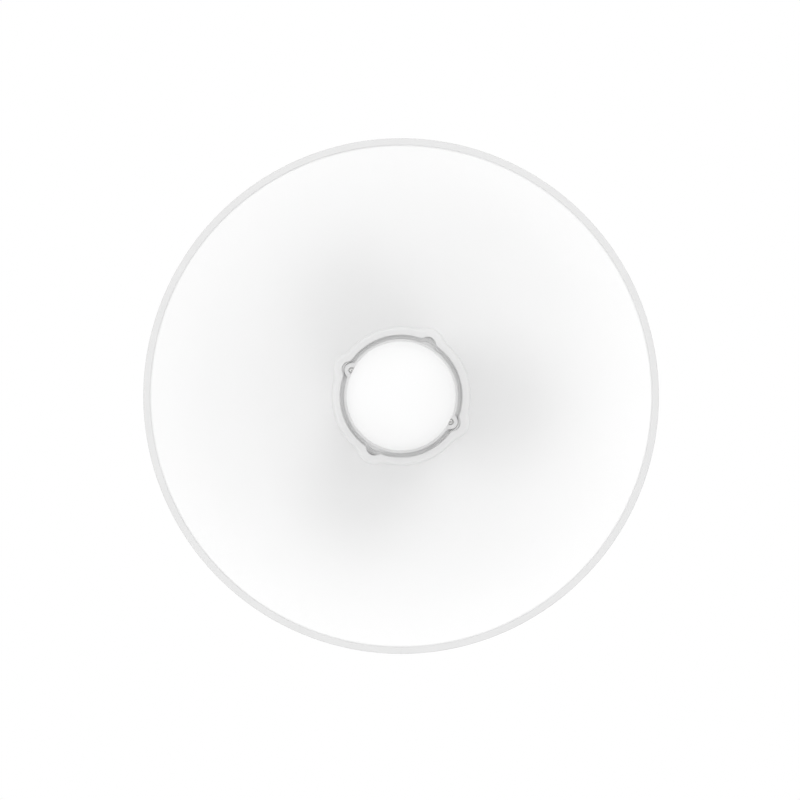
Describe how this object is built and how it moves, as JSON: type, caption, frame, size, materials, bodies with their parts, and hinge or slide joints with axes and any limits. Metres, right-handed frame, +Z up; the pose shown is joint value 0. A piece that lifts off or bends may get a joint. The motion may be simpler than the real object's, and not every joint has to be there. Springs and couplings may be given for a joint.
{
  "type": "parabolic dish antenna with pole bracket",
  "caption": "Round parabolic dish antenna with a capped central feed drum, a rear radio housing and a tilting steel bracket that clamps to a pole.",
  "frame": {"origin": "centre of the raised flat pad on the rear face of the pole bracket's web, midway between the two pole clamps", "axes": "+Y out of the pad towards the pole, +Z up along the pole, +X to the right seen from the front; the dish looks along -Y"},
  "size_m": [0.48, 0.3935, 0.48],
  "materials": {
    "dish_coat": "white powder coat, fine orange peel",
    "rim_edging": "light grey extruded edging, satin",
    "feed_plastic": "white moulded plastic, fine grain",
    "housing_plastic": "white moulded plastic, spark texture",
    "hub_seal": "light grey silicone seal, matt",
    "cast_alloy": "grey coated casting, satin",
    "zinc_steel": "hot dip zinc, faint spangle",
    "stainless": "stainless, turned",
    "black_nylon": "black nylon, satin"
  },
  "bodies": {
    "mast_bracket": {"pole_bracket": "zinc_steel", "upper_saddle": "cast_alloy", "lower_saddle": "cast_alloy", "upper_u_bolt": "stainless", "lower_u_bolt": "stainless", "upper_clamp_nut_left": "stainless", "upper_clamp_nut_right": "stainless", "lower_clamp_nut_left": "stainless", "lower_clamp_nut_right": "stainless", "pivot_bolt_left": "stainless", "pivot_bolt_right": "stainless", "pivot_nut_left": "stainless", "pivot_nut_right": "stainless", "pivot_bush_left": "black_nylon", "pivot_bush_right": "black_nylon"},
    "antenna": {"reflector": "dish_coat", "rim_ring": "rim_edging", "hub_collar": "feed_plastic", "hub_gasket": "hub_seal", "feed_flange": "feed_plastic", "feed_drum": "feed_plastic", "feed_cap": "feed_plastic", "lug_screw_left": "stainless", "lug_screw_right": "stainless", "rear_hub": "cast_alloy", "rear_housing": "housing_plastic", "rear_cover": "cast_alloy", "port_cover": "housing_plastic", "cable_gland": "black_nylon", "vent_plug": "black_nylon", "ground_screw": "stainless", "tilt_yoke": "zinc_steel", "yoke_screw_1": "stainless", "yoke_screw_2": "stainless", "yoke_screw_3": "stainless", "yoke_screw_4": "stainless", "lock_bolt_left": "stainless", "lock_bolt_right": "stainless", "lock_nut_left": "stainless", "lock_nut_right": "stainless", "lock_bush_left": "black_nylon", "lock_bush_right": "black_nylon"}
  },
  "joints": [
    {"name": "elevation_tilt", "type": "hinge", "parent": "mast_bracket", "child": "antenna", "pos_m": [0, -0.046, -0.032], "axis": [-1, 0, 0], "range_deg": [-20, 20]}
  ]
}
